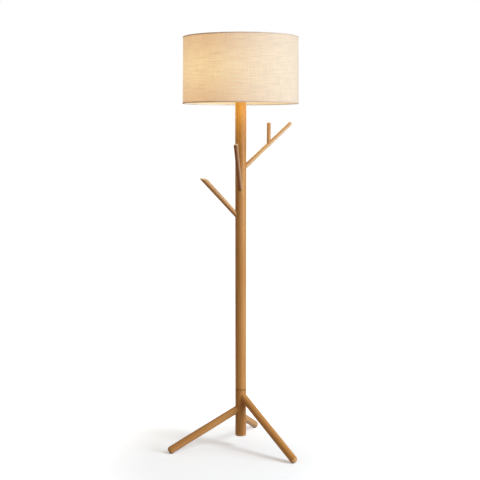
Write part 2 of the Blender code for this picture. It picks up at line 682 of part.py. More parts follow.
FITTER_THICKNESS = 2.0 * MM
FITTER_RADIUS = 30.0 * MM
RING_RADIUS = 27.5 * MM
COLLAR_RADIUS = 25.0 * MM
RING_HEIGHT = 8.0 * MM


def build_fitter():
    """A flat ring that slides over the holder's thread, with three arms down to the bottom wire."""
    low = SHOULDER + GAP
    high = low + FITTER_THICKNESS
    ring = sleeve("shade_fitter", FITTER_RADIUS, RING_BORE, low, high, WHITE_STEEL, HOLDER_SIDES)
    wire_height = SHADE_BOTTOM + EDGE_TAPE + WIRE_RADIUS
    start = Vector((FITTER_RADIUS - 3 * MM, 0, (low + high) / 2))
    end = Vector((shade_radius(wire_height) - WALL_DEPTH - WIRE_RADIUS, 0, wire_height))
    span = end - start
    for number, azimuth in enumerate(ARM_AZIMUTHS, 1):
        turn = Matrix.Rotation(math.radians(azimuth), 3, "Z")
        arm = plain_cutter(f"fitter_arm_{number}", ARM_RADIUS, 0, span.length, 10, location=turn @ start,
                           towards=turn @ span)
        join(ring, arm)
    cut(ring, wire_ring("arm_cope", wire_height, WIRE_RADIUS + GAP, cutter=True))


def build_shade():
    low, high = SHADE_BOTTOM + EDGE_TAPE, SHADE_TOP - EDGE_TAPE
    drum("shade_cover", 0, FABRIC, low, high, LINEN)
    drum("shade_liner", FABRIC + GAP, LINER, low, high, LINER_FILM)
    wire_ring("top_wire", high - WIRE_RADIUS)
    wire_ring("bottom_wire", low + WIRE_RADIUS)
    hem("top_hem", SHADE_TOP, 1)
    hem("bottom_hem", SHADE_BOTTOM, -1)
    build_fitter()
    build_retaining_ring(SHOULDER + FITTER_THICKNESS + 3 * GAP)


def build_retaining_ring(low):
    high = low + RING_HEIGHT
    profile = [(COLLAR_RADIUS, high), (COLLAR_RADIUS, low + 3.2 * MM), (RING_RADIUS, low + 2.6 * MM)]
    profile += [(RING_RADIUS, low), (RING_BORE, low), (RING_BORE, high)]
    turned("retaining_ring", profile, BLACK, HOLDER_SIDES, closed=True)


build_base()
build_pole()
build_pegs()
build_holder()
build_bulb()
build_shade()
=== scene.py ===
import math

import bpy
import numpy as np
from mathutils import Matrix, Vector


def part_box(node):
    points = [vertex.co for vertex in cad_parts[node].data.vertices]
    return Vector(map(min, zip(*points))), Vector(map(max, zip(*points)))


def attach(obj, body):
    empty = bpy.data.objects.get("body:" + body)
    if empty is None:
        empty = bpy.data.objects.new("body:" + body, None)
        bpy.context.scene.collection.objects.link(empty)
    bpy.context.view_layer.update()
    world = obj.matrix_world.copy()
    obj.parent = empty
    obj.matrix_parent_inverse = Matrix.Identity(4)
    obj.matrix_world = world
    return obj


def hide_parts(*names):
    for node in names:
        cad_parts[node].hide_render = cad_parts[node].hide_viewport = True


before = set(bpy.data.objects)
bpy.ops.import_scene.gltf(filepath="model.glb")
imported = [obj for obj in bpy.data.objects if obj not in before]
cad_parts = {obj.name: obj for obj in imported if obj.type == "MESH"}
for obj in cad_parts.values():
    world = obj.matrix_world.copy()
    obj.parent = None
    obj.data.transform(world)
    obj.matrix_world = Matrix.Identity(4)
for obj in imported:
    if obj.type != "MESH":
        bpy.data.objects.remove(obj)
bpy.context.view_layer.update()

mm = 0.001
gap = 0.3 * mm  # left between pieces that touch
pinhole = 0.3 * mm  # radius at which the end of a turned piece is closed by a fan


def corners(node):
    low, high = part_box(node)
    return np.array(low), np.array(high)


def boxCentre(node):
    low, high = corners(node)
    return (low + high) / 2


def boxRadius(node):
    low, high = corners(node)
    return (high[0] - low[0]) / 2


def pick(settings, names):
    return [settings[name] for name in names.split()]


inPlan = np.array((1, 1, 0))  # keeps the place on the floor and drops the height
poleLow, poleHigh = corners("pole")
poleAxis = boxCentre("pole") * inPlan
poleRadius = boxRadius("pole")
hubLow, hubHigh = corners("hub")
poleTop = poleHigh[2]
up = np.array((0.0, 0.0, 1.0))
scene = bpy.context.scene


def heading(azimuth, elevation=0.0):
    # unit vector out along an azimuth and up by an elevation, both in degrees
    a, e = math.radians(azimuth), math.radians(elevation)
    return np.array((math.cos(e) * math.cos(a), math.cos(e) * math.sin(a), math.sin(e)))


def placed(name, data):
    thing = bpy.data.objects.new(name, data)
    scene.collection.objects.link(thing)
    return thing


cameraSet = {"lens": 77.26, "sensor": 36.0, "aside": -0.0028, "away": 3.9745, "height": 1.2368, "dip": 5.915}


def makeCamera():
    data = bpy.data.cameras.new("camera")
    data.lens = cameraSet["lens"]
    data.sensor_width = cameraSet["sensor"]
    data.clip_end = 200.0
    camera = placed("camera", data)
    camera.location = poleAxis + (cameraSet["aside"], -cameraSet["away"], cameraSet["height"])
    camera.rotation_euler = (math.radians(90 - cameraSet["dip"]), 0, 0)
    scene.camera = camera


makeCamera()
scene.view_settings.view_transform = "Standard"
print("camera set")


class Socket:
    # a shader socket that can be used in arithmetic: each sign adds a Math node
    def __init__(self, recipe, socket):
        self.recipe, self.socket = recipe, socket

    def maths(self, operation, *others, clamp=False):
        made = self.recipe.tree.nodes.new("ShaderNodeMath")
        made.operation, made.use_clamp = operation, clamp
        for slot, value in zip(made.inputs, others):
            self.recipe.feed(slot, value)
        return Socket(self.recipe, made.outputs[0])

    def __add__(self, other):
        return self.maths("ADD", self, other)

    def __sub__(self, other):
        return self.maths("SUBTRACT", self, other)

    def __rsub__(self, other):
        return self.maths("SUBTRACT", other, self)

    def __mul__(self, other):
        return self.maths("MULTIPLY", self, other)

    def __truediv__(self, other):
        return self.maths("DIVIDE", self, other)

    def __pow__(self, other):
        return self.maths("POWER", self, other)

    __radd__, __rmul__ = __add__, __mul__

    def sine(self):
        return self.maths("SINE", self)

    def whole(self):
        return self.maths("FLOOR", self)

    def power(self):
        return self.maths("EXPONENT", self)

    def clamped(self):
        return self.maths("ADD", self, 0.0, clamp=True)


class Recipe:
    # a material, or a world, being written: its node tree, and for a material its one Principled shader
    def __init__(self, name, library=bpy.data.materials):
        self.owner = library.new(name)
        self.owner.use_nodes = True
        self.tree = self.owner.node_tree
        self.shader = self.tree.nodes.get("Principled BSDF")

    def feed(self, target, value):
        if isinstance(value, Socket):
            self.tree.links.new(value.socket, target)
        elif target.type == "RGBA" and len(value) == 3:
            target.default_value = (*value, 1)
        else:
            target.default_value = value

    def node(self, kind, settings, sockets, output=0):
        made = self.tree.nodes.new("ShaderNode" + kind)
        for key, value in settings.items():
            setattr(made, key, value)
        for key, value in sockets.items():
            self.feed(made.inputs[key], value)
        return Socket(self, made.outputs[output])

    def mix(self, share, first, second, blend="MIX"):
        settings = {"data_type": "RGBA", "blend_type": blend}
        return self.node("Mix", settings, {0: share, 6: first, 7: second}, 2)

    def ramp(self, value, *stops):
        made = self.node("ValToRGB", {}, {"Fac": value})
        elements = made.socket.node.color_ramp.elements
        while len(elements) < len(stops):
            elements.new(0.5)
        for element, (position, colour) in zip(elements, stops):
            element.position = position
            element.color = (*colour, 1.0)
        return made

    def remap(self, value, fromRange, toRange=(0.0, 1.0), curve="SMOOTHSTEP"):
        return self.node("MapRange", {"interpolation_type": curve}, {
            "Value": value, "From Min": fromRange[0], "From Max": fromRange[1],
            "To Min": toRange[0], "To Max": toRange[1]})

    def vector(self, operation, first, second):
        return self.node("VectorMath", {"operation": operation}, {0: first, 1: second})

    def noise(self, place, stretch=None, detail=2.0, rough=0.5):
        place = self.vector("MULTIPLY", place, stretch) if stretch else place
        sockets = {"Vector": place, "Scale": 1.0, "Detail": detail, "Roughness": rough}
        return self.node("TexNoise", {}, sockets)

    def split(self, place):
        first = self.node("SeparateXYZ", {}, {0: place})
        return [Socket(self, output) for output in first.socket.node.outputs]

    def join(self, x, y, z):
        return self.node("CombineXYZ", {}, {0: x, 1: y, 2: z})

    def objectPlace(self):
        return self.node("TexCoord", {}, {}, "Object")

    def attribute(self, name, output="Fac"):
        return self.node("Attribute", {"attribute_name": name}, {}, output)

    def bump(self, height, depth):
        return self.node("Bump", {}, {"Height": height, "Distance": depth, "Strength": 1.0})

    def finish(self, **sockets):
        for key, value in sockets.items():
            self.feed(self.shader.inputs[socketNames[key]], value)
        return self.owner

    def show(self, outputNode, lit, seen):
        # one shader lights the lamp and another is what the camera sees
        ray = self.node("LightPath", {}, {}, "Is Camera Ray")
        shown = self.node("MixShader", {}, {0: ray, 1: lit, 2: seen})
        self.feed(self.tree.nodes[outputNode].inputs["Surface"], shown)
        return self.owner


socketNames = {
    "colour": "Base Color", "roughness": "Roughness", "metallic": "Metallic", "normal": "Normal",
    "glow": "Emission Color", "glowStrength": "Emission Strength", "coat": "Coat Weight",
    "coatRoughness": "Coat Roughness", "sheen": "Sheen Weight", "sheenRoughness": "Sheen Roughness",
    "specular": "Specular IOR Level", "specularTint": "Specular Tint",
}


woodSet = {
    "pale": (0.62, 0.302, 0.090), "middle": (0.475, 0.195, 0.047), "dark": (0.27, 0.088, 0.018),
    # bleached is painted light over whole bars; sawn is the cut end grain and painted light; grime darkens
    # the joint band and paints shade
    "bleached": (0.74, 0.44, 0.20), "sawn": (0.98, 0.78, 0.50), "grime": (0.10, 0.035, 0.010),
    "pore": (0.13, 0.042, 0.012), "varnish": (1.0, 0.84, 0.62), "grainDepth": 0.12 * mm, "gloss": 0.36,
    # how much each part of the grain darkens the timber
    "late": 0.34, "streak": 0.55, "fibre": 0.30, "board": 0.35, "lighten": 0.32,
    "ringPitch": 3.4 * mm, "heartAway": 46 * mm, "poreRange": (0.60, 0.70),
    # how far each mark is mixed in where it is strongest
    "poreShare": 0.45, "sawnShare": 0.85, "grimeShare": 0.8,
}


def makeWood():
    # solid timber in each bar's own frame: growth rings about a heart that lies outside the bar, pulled out
    # of round by slow noise, with fibres and pores drawn out along the bar
    r = Recipe("oiledWood")
    place = r.attribute("grain", "Vector")
    warp = r.noise(place, (38, 38, 2.2), detail=3.0)
    x, y, _ = r.split(place)
    wander = (warp - 0.5) * (9 * mm)
    away = ((x + woodSet["heartAway"] + wander) ** 2.0 + (y + wander) ** 2.0) ** 0.5
    rings = (away * (2 * math.pi / woodSet["ringPitch"])).sine() * 0.5 + 0.5
    late = rings ** 3.0
    fibre = r.noise(place, (1500, 1500, 16), detail=3.0, rough=0.65)
    streak = r.noise(place, (260, 260, 3.5), detail=3.0, rough=0.6)
    board = r.noise(place, (14, 14, 5.0), detail=1.0)
    pores = r.remap(r.noise(place, (2100, 2100, 70), detail=1.0), woodSet["poreRange"], curve="LINEAR")
    # each bar's painted light and shade: above 0 mixes in bleached, below 0 darkens the grain's tone
    paleness = r.attribute("paleness")
    tone = late * woodSet["late"] + streak * woodSet["streak"] + fibre * woodSet["fibre"]
    tone = tone + board * woodSet["board"] - woodSet["lighten"] + (paleness * -1.0).clamped()
    colour = r.ramp(tone, (0.12, woodSet["pale"]), (0.45, woodSet["middle"]), (0.86, woodSet["dark"]))
    colour = r.mix(pores * woodSet["poreShare"], colour, woodSet["pore"])
    # marks: above 0 the cut end grain and painted light, below 0 the darker joint band and painted shade
    wear = r.attribute("wear")
    colour = r.mix(paleness.clamped(), colour, woodSet["bleached"])
    colour = r.mix(wear.clamped() * woodSet["sawnShare"], colour, woodSet["sawn"])
    colour = r.mix((wear * -1.0).clamped() * woodSet["grimeShare"], colour, woodSet["grime"])
    roughness = streak * 0.16 + pores * 0.2 + 0.34 + wear.clamped() * 0.10
    height = fibre * 0.35 - pores * 0.8 - late * 0.25
    return r.finish(colour=colour, roughness=roughness, normal=r.bump(height, woodSet["grainDepth"]),
                    specular=woodSet["gloss"], specularTint=woodSet["varnish"])


linenSet = {
    "thread": 0.9 * mm, "cloth": (0.60, 0.515, 0.40), "slubColour": (0.545, 0.458, 0.348),
    "glow": (0.57, 0.33, 0.148), "hotGlow": (0.745, 0.515, 0.245), "hotSpread": 0.085,
    # painted light: the glow is drawn falling from the left of the drum to its right: between which places,
    # and to what share
    "sideFall": (-0.16, 0.25), "farSide": 0.40, "bumpDepth": 0.16 * mm,
}
hemTapeSet = {
    "thread": 0.6 * mm, "cloth": (0.66, 0.56, 0.45), "slubColour": (0.44, 0.34, 0.25),
    "glow": (0.125, 0.050, 0.015), "bumpDepth": 0.15 * mm,
}
linerSet = {
    "clear": (0.13, 0.13, 0.12), "drawn": (0.10, 0.10, 0.09), "glow": (0.84, 0.62, 0.335),
    "bumpDepth": 0.05 * mm,
}
opalSet = {
    # the glow from the neck, through the waist, to the crown
    "neckGlow": (0.62, 0.34, 0.12), "waistGlow": (1.0, 0.72, 0.38), "crownGlow": (1.0, 0.84, 0.56),
    "strength": 2.2, "clear": (0.93, 0.90, 0.84), "hazy": (0.88, 0.85, 0.78),
}


def clothThreads(r, thread):
    # plain weave: every weft and warp thread has a thickness of its own that swells and thins along it
    u, v, _ = r.split(r.node("UVMap", {"uv_map": "cloth"}, {}))
    weft, warp = (v / thread).whole(), (u / thread).whole()
    weftSlub = r.noise(r.join(u * 34, weft * 7.31, 0.5))
    warpSlub = r.noise(r.join(warp * 5.17, v * 30, 9.5))
    over = (u * (math.pi / thread)).sine() * (v * (math.pi / thread)).sine()
    return u, v, weftSlub, warpSlub, over


def makeLinen():
    r = Recipe("naturalLinen")
    u, v, weftSlub, warpSlub, over = clothThreads(r, linenSet["thread"])
    thick = r.noise(r.join(u * 13, v * 250, 3.0), detail=3.0)
    cloud = r.noise(r.join(u * 22, v * 30, 7.0), detail=3.0)
    slub = (weftSlub - 0.5) * 2.0 + (warpSlub - 0.5) * 1.7 + (thick - 0.5) * 2.2 + (cloud - 0.5) * 0.4
    shade = (slub * 0.8 + 0.42).clamped()
    cloth, slubColour = linenSet["cloth"], linenSet["slubColour"]
    colour = r.mix(shade, cloth, slubColour)
    colour = r.mix((over * 0.5 + 0.5) * 0.16, colour, [c * 0.75 for c in cloth])
    # the light that comes through: most at the bulb's height, least through the thick threads
    x, _, z = r.split(r.objectPlace())
    above = (z - bulbHeight) / linenSet["hotSpread"]
    hot = (above * above * -1.0).power()
    # the fall from left to right is painted light; the bulb lights the drum evenly all round
    side = r.remap(x, linenSet["sideFall"], (1.0, linenSet["farSide"]))
    glow = r.mix(hot * side, linenSet["glow"], linenSet["hotGlow"])
    strength = (1.11 - shade * 0.38) * side
    glow = r.mix(1.0, glow, r.join(strength, strength, strength), "MULTIPLY")
    height = over * 0.5 + slub
    return r.finish(colour=colour, roughness=0.88, normal=r.bump(height, linenSet["bumpDepth"]), glow=glow,
                    glowStrength=1.0, sheen=0.25, sheenRoughness=0.5, specular=0.2)


def makeHemTape():
    r = Recipe("hemTape")
    _, _, weftSlub, warpSlub, over = clothThreads(r, hemTapeSet["thread"])
    slub = ((weftSlub - 0.5) + (warpSlub - 0.5) * 1.4 + 0.4).clamped()
    colour = r.mix(slub, hemTapeSet["cloth"], hemTapeSet["slubColour"])
    height = over * 0.6 + slub
    return r.finish(colour=colour, roughness=0.85, normal=r.bump(height, hemTapeSet["bumpDepth"]), sheen=0.2,
                    sheenRoughness=0.5, glow=hemTapeSet["glow"], glowStrength=1.0, specular=0.2)


def makeLinerFilm():
    # styrene film with a faint drawn texture, its colour drawn dark as painted shade so the outside lamps
    # barely light it; the bulb's light on it is a painted glow
    r = Recipe("shadeLiner")
    place = r.objectPlace()
    mottle = r.noise(place, (60, 60, 200), detail=3.0)
    colour = r.ramp(mottle, (0.3, linerSet["clear"]), (0.7, linerSet["drawn"]))
    return r.finish(colour=colour, roughness=mottle * 0.2 + 0.42, glow=linerSet["glow"], glowStrength=1.0,
                    normal=r.bump(mottle, linerSet["bumpDepth"]), specular=0.08)


def makeMetal(name, bright, dull, roughness, brush=(400, 400, 400)):
    r = Recipe(name)
    place = r.objectPlace()
    patina = r.noise(place, (90, 90, 90), detail=4.0, rough=0.6)
    lines = r.noise(place, brush, detail=2.0)
    colour = r.ramp(patina * 0.7 + lines * 0.3, (0.35, bright), (0.68, dull))
    rough = patina * 0.18 + lines * 0.12 + roughness
    return r.finish(colour=colour, roughness=rough, metallic=1.0, normal=r.bump(lines, 0.06 * mm))


def makePlastic(name, bright, dull, roughness, grainSize, depth):
    r = Recipe(name)
    place = r.objectPlace()
    grain = r.noise(place, (grainSize, grainSize, grainSize), detail=2.0)
    dust = r.noise(place, (70, 70, 70), detail=4.0, rough=0.65)
    colour = r.ramp(dust, (0.35, bright), (0.75, dull))
    rough = grain * 0.15 + dust * 0.2 + roughness
    return r.finish(colour=colour, roughness=rough, normal=r.bump(grain, depth))


def makeOpalGlass():
    r = Recipe("opalGlass")
    _, _, z = r.split(r.objectPlace())
    low, high = bulbLow[2], bulbHigh[2]
    rise = ((z - low) / (high - low)).clamped()
    haze = r.noise(r.objectPlace(), (120, 120, 120), detail=3.0)
    glow = r.ramp(rise, (0.0, opalSet["neckGlow"]), (0.45, opalSet["waistGlow"]), (0.8, opalSet["crownGlow"]))
    colour = r.ramp(haze, (0.3, opalSet["clear"]), (0.7, opalSet["hazy"]))
    return r.finish(colour=colour, roughness=haze * 0.1 + 0.12, glow=glow, glowStrength=opalSet["strength"],
                    coat=0.4, coatRoughness=0.08)


def makeDowelWood():
    # the same timber for the hidden dowel, on its own object coordinates
    r = Recipe("dowelWood")
    fibre = r.noise(r.objectPlace(), (1500, 1500, 30), detail=3.0)
    colour = r.ramp(fibre, (0.3, (0.62, 0.36, 0.16)), (0.7, (0.46, 0.24, 0.09)))
    return r.finish(colour=colour, roughness=fibre * 0.2 + 0.5, normal=r.bump(fibre, 0.08 * mm))


bulbLow, bulbHigh = corners("bulb_glass")
bulbHeight = bulbHigh[2] - boxRadius("bulb_glass")
wood = makeWood()
dowelWood = makeDowelWood()
linen = makeLinen()
hemTape = makeHemTape()
linerFilm = makeLinerFilm()
opalGlass = makeOpalGlass()
whiteSteel = makePlastic("whitePaintedSteel", (0.86, 0.85, 0.82), (0.78, 0.76, 0.70), 0.28, 900, 0.04 * mm)
zincSteel = makeMetal("zincSteel", (0.66, 0.67, 0.69), (0.47, 0.46, 0.44), 0.24)
brass = makeMetal("brass", (0.83, 0.60, 0.27), (0.60, 0.40, 0.17), 0.22)
aluminium = makeMetal("aluminium", (0.82, 0.82, 0.83), (0.64, 0.64, 0.65), 0.26, brush=(60, 60, 1800))
filamentWire = makeMetal("filamentWire", (0.52, 0.50, 0.48), (0.34, 0.32, 0.30), 0.35, (2600, 2600, 2600))
blackPlastic = makePlastic("blackPlastic", (0.022, 0.021, 0.021), (0.045, 0.042, 0.04), 0.30, 2200, 0.03 * mm)
ceramic = makePlastic("whiteCeramic", (0.88, 0.87, 0.83), (0.80, 0.78, 0.72), 0.12, 500, 0.03 * mm)
rubber = makePlastic("darkRubber", (0.040, 0.036, 0.034), (0.085, 0.075, 0.068), 0.66, 1500, 0.08 * mm)
print("materials written")


def sideways(along):
    # two unit vectors square to a direction and to each other
    first = np.cross(along, (0, 1, 0) if abs(along[1]) < 0.9 else (1, 0, 0))
    first /= np.linalg.norm(first)
    return first, np.cross(along, first)


def arc(centreAlong, centreRadius, radius, start, end, count):
    # points of a circular arc as (along, radius), angles from outwards towards along
    angles = np.radians(np.linspace(start, end, count))
    return [(centreAlong + radius * math.sin(a), centreRadius + radius * math.cos(a)) for a in angles]


def finer(profile, step):
    # cuts every stretch of a profile that is longer than step into equal shorter ones
    points = [profile[0]]
    for first, second in zip(profile, profile[1:]):
        count = max(1, math.ceil(math.dist(first, second) / step))
        across = np.array(second) - first
        points += [tuple(np.array(first) + across * k / count) for k in range(1, count + 1)]
    return points


def turnedPoints(origin, along, profile, columns, ripple=None):
    # a profile of (along, radius) carried round an axis: origin + along * s + radius * (cos a, sin a)
    first, second = sideways(along)
    s, radius = np.array(profile).T
    a = np.linspace(0, 2 * math.pi, columns, endpoint=False)
    radius = radius[:, None] + (ripple(s[:, None], a[None, :], radius[:, None]) if ripple else 0 * a[None, :])
    across = radius[..., None] * (np.cos(a)[None, :, None] * first + np.sin(a)[None, :, None] * second)
    return np.array(origin) + s[:, None, None] * along + across


def meshOf(vertices, faces):
    mesh = bpy.data.meshes.new("mesh")
    mesh.from_pydata(vertices, [], faces)
    return mesh


def closedMesh(points, loop=False):
    # a grid of (row, column, xyz) wrapped round its columns; its rows close on themselves as a loop, or are
    # shut at both ends by a fan to the middle of the end row
    rows, columns = points.shape[:2]
    index = np.arange(rows * columns).reshape(rows, columns)
    low = index if loop else index[:-1]
    high = np.roll(index, -1, 0) if loop else index[1:]
    quads = np.stack([low, np.roll(low, -1, 1), np.roll(high, -1, 1), high], -1).reshape(-1, 4).tolist()
    vertices = points.reshape(-1, 3)
    if not loop:
        vertices = np.vstack([vertices, points[0].mean(0), points[-1].mean(0)])
        start, end = rows * columns, rows * columns + 1
        firstRow, lastRow = index[0], index[-1]
        quads += [(start, b, a) for a, b in zip(firstRow.tolist(), np.roll(firstRow, -1).tolist())]
        quads += [(end, a, b) for a, b in zip(lastRow.tolist(), np.roll(lastRow, -1).tolist())]
    return meshOf(vertices.tolist(), quads)


def addPiece(node, mesh, material, body, sharp=32):
    # a piece has its node's name, with capitals in place of the lines between words
    first, *rest = node.split("_")
    mesh.name = first + "".join(word.title() for word in rest)
    piece = placed(mesh.name, mesh)
    mesh.materials.clear()
    mesh.materials.append(material)
    mesh.shade_smooth()
    mesh.set_sharp_from_angle(angle=math.radians(sharp))
    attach(piece, body)
    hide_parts(node)
    return piece


def combined(mesh, operation, others):
    # a mesh after a Boolean with each of the other meshes
    whole = placed("whole", mesh)
    helpers = [placed("helper", other) for other in others]
    for helper in helpers:
        boolean = whole.modifiers.new("shape", "BOOLEAN")
        boolean.operation, boolean.object = operation, helper
    bpy.context.view_layer.update()
    shaped = bpy.data.meshes.new_from_object(whole.evaluated_get(bpy.context.evaluated_depsgraph_get()))
    for helper in [whole] + helpers:
        bpy.data.objects.remove(helper)
    return shaped


def addTimber(node, mesh, origin, along, offset, wornAndPaintedLight, paleness=0.0):
    # a wooden piece that stores each point's place in the bar's own frame, its marks with painted light and
    # shade, and the bar's painted light or shade as a whole. wornAndPaintedLight lists planes as (point,
    # normal, reach, amount): above 0 draws the cut end grain paler and paints light, below 0 draws the joint
    # band darker and paints shade
    first, second = sideways(along)
    places = np.empty(len(mesh.vertices) * 3)
    mesh.vertices.foreach_get("co", places)
    places = places.reshape(-1, 3)
    local = (places - origin) @ np.array([first, second, along]).T
    grain = mesh.attributes.new("grain", "FLOAT_VECTOR", "POINT")
    grain.data.foreach_set("vector", (local + offset).astype(np.float32).ravel())
    wear = np.zeros(len(local))
    for point, normal, reach, amount in wornAndPaintedLight:
        normal = np.array(normal) / np.linalg.norm(normal)
        wear += amount * (1 - np.abs((places - point) @ normal) / reach).clip(0, 1)
    for name, values in (("wear", wear), ("paleness", np.full(len(local), paleness))):
        mesh.attributes.new(name, "FLOAT", "POINT").data.foreach_set("value", values.astype(np.float32))
    addPiece(node, mesh, wood, "stand")


def handSanded(s, a, radius):
    # a turned bar is never quite round or straight: a slow lift of a tenth of a millimetre or so
    lift = np.sin(a * 2 + s * 31) * 0.5 + np.sin(a * 3 - s * 17 + 1.3) * 0.3 + np.sin(s * 43 + a) * 0.4
    return lift * 0.1 * mm * (radius > 6 * mm)


legSet = {
    "radius": 14.5 * mm, "seat": 12.3 * mm, "footHeight": 15.0 * mm, "rounding": 11.0 * mm, "past": 13.5 * mm,
    "lip": 2.0 * mm, "boltBore": 4.3 * mm, "boltDepth": 34.3 * mm, "columns": 72, "endShade": 9 * mm,
    "axisHeights": {"front": 216.0 * mm, "back": 129.5 * mm, "left": 163.0 * mm},
    # painted light drawn over the back and left legs
    "paleness": {"back": 0.4, "left": 0.12},
    "ends": {"front": 0.28, "left": -0.32},  # painted light on the front foot's end, painted shade on the left foot's end
}
branchSet = {
    "seat": 17.3 * mm, "boltBore": 3.3 * mm, "boltDepth": 26.3 * mm, "rounding": 0.8 * mm, "columns": 64,
    "cutFade": 26 * mm, "sawnReach": 1.5 * mm,
    # azimuth, height on the pole, reach and height of the tip, radius at the pole and at the tip
    "right": (4.0, 1092.0 * mm, 194.5 * mm, 1277.0 * mm, 9.2 * mm, 6.8 * mm),
    "left": (198.0, 905.0 * mm, 149.5 * mm, 1064.0 * mm, 9.5 * mm, 10.5 * mm),
    "front": (264.4, 1007.0 * mm, 189.0 * mm, 1196.0 * mm, 8.4 * mm, 8.1 * mm),
    # outward direction of each sawn tip
    "cuts": {"left": (0.13, -0.14, 0.98), "front": (-0.28, -0.10, 0.95)},
    # painted light drawn over a whole branch; below 0 it is painted shade, which darkens it
    "paleness": {"right": 0.7, "front": -0.7, "left": -0.12},
    # the side of each branch that faces the light, drawn paler as painted light, and how strong it is
    "sapwood": {
        "right": ((0.69, -0.2, -0.73), 0.45), "front": ((1.0, 0.0, 0.0), 0.34),
        "left": ((0.7, -0.3, 0.7), 0.38),
    },
}
twigSet = {
    # the twig's paleness is painted light drawn over the whole twig
    "rounding": 0.8 * mm, "dowelBore": 3.3 * mm, "saddleFade": 26 * mm, "paleness": 0.35, "columns": 64,
}


def legLine(name):
    # the pad gives where the foot stands, the axis height where the leg meets the hub
    foot = boxCentre("foot_pad_" + name) * inPlan + up * legSet["footHeight"]
    crossing = poleAxis + (0, 0, legSet["axisHeights"][name])
    length = np.linalg.norm(foot - crossing)
    return crossing, (foot - crossing) / length, length


def branchLine(name):
    azimuth, height, reach, tipHeight, _, _ = branchSet[name]
    rise = tipHeight - height
    along = heading(azimuth, math.degrees(math.atan2(rise, reach)))
    return poleAxis + (0, 0, height), along, math.hypot(rise, reach)


def branchRadius(name, along):
    _, _, length = branchLine(name)
    atPole, atTip = branchSet[name][4:]
    return atPole + (atTip - atPole) * along / length


def makeLeg(name, number):
    crossing, along, length = legLine(name)
    radius, seat, rounding, lip, bore = pick(legSet, "radius seat rounding lip boltBore")
    end, boreEnd = length + legSet["past"], seat + legSet["boltDepth"]
    profile = [(boreEnd, pinhole), (boreEnd, bore), (seat, bore)]
    profile += arc(seat + lip, radius - lip, lip, -90, 0, 6)
    profile += arc(end - rounding, radius - rounding, rounding, 0, 90, 14) + [(end, pinhole)]
    points = turnedPoints(crossing, along, finer(profile, 6 * mm), legSet["columns"], handSanded)
    sole = corners("leg_" + name)[0][2]
    points[..., 2] = points[..., 2].clip(sole, None)  # the foot is sanded flat where the pad is fixed
    mesh = closedMesh(points)
    footEnd = (crossing + along * (end + 1 * mm), along, legSet["endShade"], legSet["ends"].get(name, 0))
    offset = np.array((0.013, 0.021, 0.7)) * number
    addTimber("leg_" + name, mesh, crossing, along, offset, [footEnd], legSet["paleness"].get(name, 0))


padSet = {
    "grooveInner": 2.6 * mm, "grooveOuter": 1.2 * mm, "slope": 0.4 * mm, "grooveDepth": 0.25 * mm,
    "lowerEdge": 0.5 * mm, "upperEdge": 0.6 * mm, "columns": 40,
}


def makeFootPad(name):
    # a round rubber pad with a shallow ring groove under it
    low, high = corners("foot_pad_" + name)
    radius, height = boxRadius("foot_pad_" + name), high[2] - low[2]
    slope, depth, lower, upper = pick(padSet, "slope grooveDepth lowerEdge upperEdge")
    inner, outer = radius - padSet["grooveInner"], radius - padSet["grooveOuter"]
    profile = [(0, pinhole), (0, inner), (depth, inner + slope), (depth, outer - slope), (0, outer)]
    profile += arc(lower, radius - lower, lower, -90, 0, 5)
    profile += arc(height - upper, radius - upper, upper, 0, 90, 5) + [(height, pinhole)]
    origin = boxCentre("foot_pad_" + name) * inPlan + up * low[2]
    mesh = closedMesh(turnedPoints(origin, up, profile, padSet["columns"]))
    addPiece("foot_pad_" + name, mesh, rubber, "stand")


hubSet = {
    "pocket": 12.6 * mm, "pocketBore": 8.3 * mm, "rounding": 3.5 * mm, "chamfer": 1.2 * mm, "columns": 96,
    "insertDepth": 10.6 * mm, "insertBore": 6.3 * mm, "cutterReach": 60 * mm,
    # rub is a painted highlight on the band just above the hub's rounded foot
    "jointReach": 2.4 * mm, "jointGrime": -0.7, "rubHeight": 3 * mm, "rubReach": 4 * mm, "rub": 0.25,
}


def steppedHole(origin, along, start, bore, seat, socket, reach, columns):
    # a shape to cut away: a narrow bore from start to seat, and a wider socket from there out to reach
    hole = [(start, pinhole), (start, bore), (seat, bore), (seat, socket), (reach, socket), (reach, pinhole)]
    return closedMesh(turnedPoints(origin, along, hole, columns))


def legSocket(name):
    crossing, along, _ = legLine(name)
    seat = legSet["seat"] - gap
    return steppedHole(crossing, along, seat - hubSet["insertDepth"], hubSet["insertBore"], seat,
                       legSet["radius"] + gap, hubSet["cutterReach"], legSet["columns"])


def makeHub():
    top, low = hubHigh[2], hubLow[2]
    fillet, chamfer, bore = pick(hubSet, "rounding chamfer pocketBore")
    pocket = top - hubSet["pocket"]
    profile = [(low, pinhole)] + arc(low + fillet, poleRadius - fillet, fillet, -90, 0, 10)
    profile += [(top - chamfer, poleRadius), (top, poleRadius - chamfer)]
    profile += [(top, bore), (pocket, bore), (pocket, pinhole)]
    mesh = closedMesh(turnedPoints(poleAxis, up, finer(profile, 6 * mm), hubSet["columns"], handSanded))
    mesh = combined(mesh, "DIFFERENCE", [legSocket(name) for name in legSet["axisHeights"]])
    # the timber drawn darker along the joint with the pole
    joint = (poleAxis + (0, 0, top), up, hubSet["jointReach"], hubSet["jointGrime"])
    # a painted highlight just above the hub's rounded foot
    paintedHighlightBand = (poleAxis + (0, 0, low + hubSet["rubHeight"]), up, hubSet["rubReach"], hubSet["rub"])
    addTimber("hub", mesh, poleAxis, up, (0.011, -0.017, 3.1), [joint, paintedHighlightBand])


